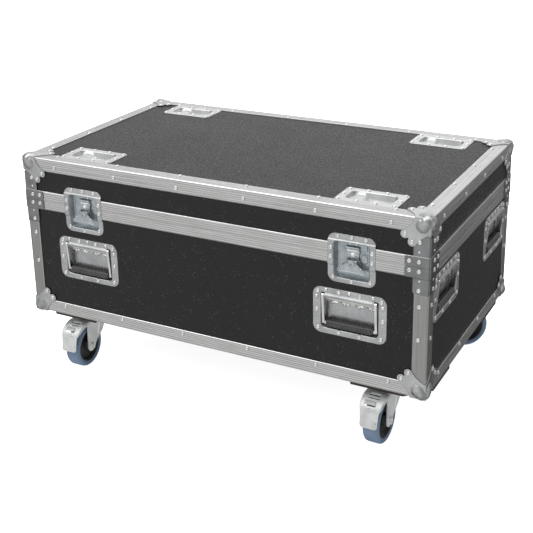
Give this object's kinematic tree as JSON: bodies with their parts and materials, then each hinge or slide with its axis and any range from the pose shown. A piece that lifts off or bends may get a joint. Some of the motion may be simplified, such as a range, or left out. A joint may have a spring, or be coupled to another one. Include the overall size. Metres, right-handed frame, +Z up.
{
  "type": "lighting flight case",
  "caption": "Wheeled hard case with a hinged lid, recessed butterfly latches, spring handles and swivel castors, for moving stage lights.",
  "frame": {"origin": "centre of the case's footprint on the floor under the four wheels", "axes": "+X along the case's length to the right when facing its latched front, +Y from the latched front to the hinged rear, +Z up"},
  "size_m": [0.9734, 0.6131, 0.5167],
  "materials": {
    "laminate": "black phenolic laminate with a fine pebbled grain over birch plywood",
    "aluminium": "extruded aluminium with fine lengthwise ridges, satin",
    "stamped_steel": "stamped steel, zinc plated, satin grey",
    "latch_zinc": "bright zinc plated steel with a bluish tint",
    "bail_steel": "zinc plated steel bar",
    "grip_rubber": "black moulded rubber, ribbed",
    "board_wood": "dark brown film-faced plywood",
    "castor_zinc": "bright zinc plated pressed steel",
    "tyre_rubber": "blue elastic rubber, non-marking, matt",
    "wheel_core": "black moulded nylon"
  },
  "bodies": {
    "base": {"base_floor_panel": "laminate", "base_front_panel": "laminate", "base_rear_panel": "laminate", "base_end_panels": "laminate", "base_edge_angles": "aluminium", "base_rim": "aluminium", "base_ball_corners": "stamped_steel", "base_corner_braces": "stamped_steel", "handle_dishes": "stamped_steel", "latch_lower_dishes": "stamped_steel", "castor_boards": "board_wood", "castor_top_plates": "castor_zinc", "castor_bolts": "castor_zinc", "hinge_base_leaves": "stamped_steel", "hinge_pins": "stamped_steel"},
    "lid": {"lid_top_panel": "laminate", "lid_front_panel": "laminate", "lid_rear_panel": "laminate", "lid_end_panels": "laminate", "lid_edge_angles": "aluminium", "lid_rim": "aluminium", "lid_ball_corners": "stamped_steel", "lid_corner_braces": "stamped_steel", "stacking_cups": "stamped_steel", "latch_upper_dishes": "stamped_steel", "latch_keepers": "latch_zinc", "hinge_lid_leaves": "stamped_steel"},
    "latch_rotor_left": {"latch_rotor_left": "latch_zinc"},
    "latch_hook_left": {"latch_hook_left": "latch_zinc"},
    "latch_wing_left": {"latch_wing_left": "latch_zinc"},
    "latch_rotor_right": {"latch_rotor_right": "latch_zinc"},
    "latch_hook_right": {"latch_hook_right": "latch_zinc"},
    "latch_wing_right": {"latch_wing_right": "latch_zinc"},
    "handle_front_left": {"handle_bail_front_left": "bail_steel", "handle_grip_front_left": "grip_rubber"},
    "handle_front_right": {"handle_bail_front_right": "bail_steel", "handle_grip_front_right": "grip_rubber"},
    "handle_left_front": {"handle_bail_left_front": "bail_steel", "handle_grip_left_front": "grip_rubber"},
    "handle_left_rear": {"handle_bail_left_rear": "bail_steel", "handle_grip_left_rear": "grip_rubber"},
    "handle_right_front": {"handle_bail_right_front": "bail_steel", "handle_grip_right_front": "grip_rubber"},
    "handle_right_rear": {"handle_bail_right_rear": "bail_steel", "handle_grip_right_rear": "grip_rubber"},
    "castor_fork_front_left": {"castor_fork_front_left": "castor_zinc"},
    "castor_wheel_front_left": {"castor_tyre_front_left": "tyre_rubber", "castor_core_front_left": "wheel_core"},
    "brake_pedal_front_left": {"brake_pedal_front_left": "castor_zinc"},
    "castor_fork_front_right": {"castor_fork_front_right": "castor_zinc"},
    "castor_wheel_front_right": {"castor_tyre_front_right": "tyre_rubber", "castor_core_front_right": "wheel_core"},
    "brake_pedal_front_right": {"brake_pedal_front_right": "castor_zinc"},
    "castor_fork_rear_left": {"castor_fork_rear_left": "castor_zinc"},
    "castor_wheel_rear_left": {"castor_tyre_rear_left": "tyre_rubber", "castor_core_rear_left": "wheel_core"},
    "castor_fork_rear_right": {"castor_fork_rear_right": "castor_zinc"},
    "castor_wheel_rear_right": {"castor_tyre_rear_right": "tyre_rubber", "castor_core_rear_right": "wheel_core"}
  },
  "joints": [
    {"name": "lid_hinge", "type": "hinge", "parent": "base", "child": "lid", "pos_m": [0, 0.287, 0.411], "axis": [-1, 0, 0], "range_deg": [0, 95]},
    {"name": "latch_turn_left", "type": "hinge", "parent": "base", "child": "latch_rotor_left", "pos_m": [-0.3215, -0.28, 0.3905], "axis": [0, -1, 0], "range_deg": [0, 180]},
    {"name": "latch_hook_slide_left", "type": "slide", "parent": "base", "child": "latch_hook_left", "axis": [0, 0, 1], "range_m": [-0.0002, 0.0083]},
    {"name": "latch_wing_flip_left", "type": "hinge", "parent": "latch_rotor_left", "child": "latch_wing_left", "pos_m": [-0.3215, -0.2806, 0.3985], "axis": [-1, 0, 0], "range_deg": [0, 90]},
    {"name": "latch_turn_right", "type": "hinge", "parent": "base", "child": "latch_rotor_right", "pos_m": [0.3215, -0.28, 0.3905], "axis": [0, -1, 0], "range_deg": [0, 180]},
    {"name": "latch_hook_slide_right", "type": "slide", "parent": "base", "child": "latch_hook_right", "axis": [0, 0, 1], "range_m": [-0.0002, 0.0083]},
    {"name": "latch_wing_flip_right", "type": "hinge", "parent": "latch_rotor_right", "child": "latch_wing_right", "pos_m": [0.3215, -0.2806, 0.3985], "axis": [-1, 0, 0], "range_deg": [0, 90]},
    {"name": "handle_swing_front_left", "type": "hinge", "parent": "base", "child": "handle_front_left", "pos_m": [-0.3175, -0.2795, 0.315], "axis": [-1, 0, 0], "range_deg": [0, 90], "stiffness_Nm_per_rad": 0.15, "springref_deg": -20.05},
    {"name": "handle_swing_front_right", "type": "hinge", "parent": "base", "child": "handle_front_right", "pos_m": [0.3175, -0.2795, 0.315], "axis": [-1, 0, 0], "range_deg": [0, 90], "stiffness_Nm_per_rad": 0.15, "springref_deg": -20.05},
    {"name": "handle_swing_left_front", "type": "hinge", "parent": "base", "child": "handle_left_front", "pos_m": [-0.4795, -0.168, 0.3625], "axis": [0, 1, 0], "range_deg": [0, 90], "stiffness_Nm_per_rad": 0.15, "springref_deg": -20.05},
    {"name": "handle_swing_left_rear", "type": "hinge", "parent": "base", "child": "handle_left_rear", "pos_m": [-0.4795, 0.168, 0.3625], "axis": [0, 1, 0], "range_deg": [0, 90], "stiffness_Nm_per_rad": 0.15, "springref_deg": -20.05},
    {"name": "handle_swing_right_front", "type": "hinge", "parent": "base", "child": "handle_right_front", "pos_m": [0.4795, -0.168, 0.3625], "axis": [0, -1, 0], "range_deg": [0, 90], "stiffness_Nm_per_rad": 0.15, "springref_deg": -20.05},
    {"name": "handle_swing_right_rear", "type": "hinge", "parent": "base", "child": "handle_right_rear", "pos_m": [0.4795, 0.168, 0.3625], "axis": [0, -1, 0], "range_deg": [0, 90], "stiffness_Nm_per_rad": 0.15, "springref_deg": -20.05},
    {"name": "castor_swivel_front_left", "type": "hinge", "parent": "base", "child": "castor_fork_front_left", "pos_m": [-0.375, -0.214, 0.114], "axis": [0, 0, 1], "continuous": true},
    {"name": "wheel_spin_front_left", "type": "hinge", "parent": "castor_fork_front_left", "child": "castor_wheel_front_left", "pos_m": [-0.37306, -0.25095, 0.05], "axis": [0.9986, 0.0523, 0], "continuous": true},
    {"name": "brake_pedal_press_front_left", "type": "hinge", "parent": "castor_fork_front_left", "child": "brake_pedal_front_left", "pos_m": [-0.3727, -0.25794, 0.108], "axis": [0.9986, 0.0523, 0], "range_deg": [0, 6]},
    {"name": "castor_swivel_front_right", "type": "hinge", "parent": "base", "child": "castor_fork_front_right", "pos_m": [0.375, -0.214, 0.114], "axis": [0, 0, 1], "continuous": true},
    {"name": "wheel_spin_front_right", "type": "hinge", "parent": "castor_fork_front_right", "child": "castor_wheel_front_right", "pos_m": [0.37435, -0.25099, 0.05], "axis": [0.9998, -0.0175, 0], "continuous": true},
    {"name": "brake_pedal_press_front_right", "type": "hinge", "parent": "castor_fork_front_right", "child": "brake_pedal_front_right", "pos_m": [0.37423, -0.25799, 0.108], "axis": [0.9998, -0.0175, 0], "range_deg": [0, 6]},
    {"name": "castor_swivel_rear_left", "type": "hinge", "parent": "base", "child": "castor_fork_rear_left", "pos_m": [-0.375, 0.214, 0.114], "axis": [0, 0, 1], "continuous": true},
    {"name": "wheel_spin_rear_left", "type": "hinge", "parent": "castor_fork_rear_left", "child": "castor_wheel_rear_left", "pos_m": [-0.375, 0.251, 0.05], "axis": [-1, 0, 0], "continuous": true},
    {"name": "castor_swivel_rear_right", "type": "hinge", "parent": "base", "child": "castor_fork_rear_right", "pos_m": [0.375, 0.214, 0.114], "axis": [0, 0, 1], "continuous": true},
    {"name": "wheel_spin_rear_right", "type": "hinge", "parent": "castor_fork_rear_right", "child": "castor_wheel_rear_right", "pos_m": [0.40334, 0.23778, 0.05], "axis": [-0.6428, 0.766, 0], "continuous": true}
  ],
  "couplings": [
    {"joint": "latch_hook_slide_left", "follows": "latch_turn_left", "m_per_rad": 0.0025465},
    {"joint": "latch_hook_slide_right", "follows": "latch_turn_right", "m_per_rad": 0.0025465}
  ]
}
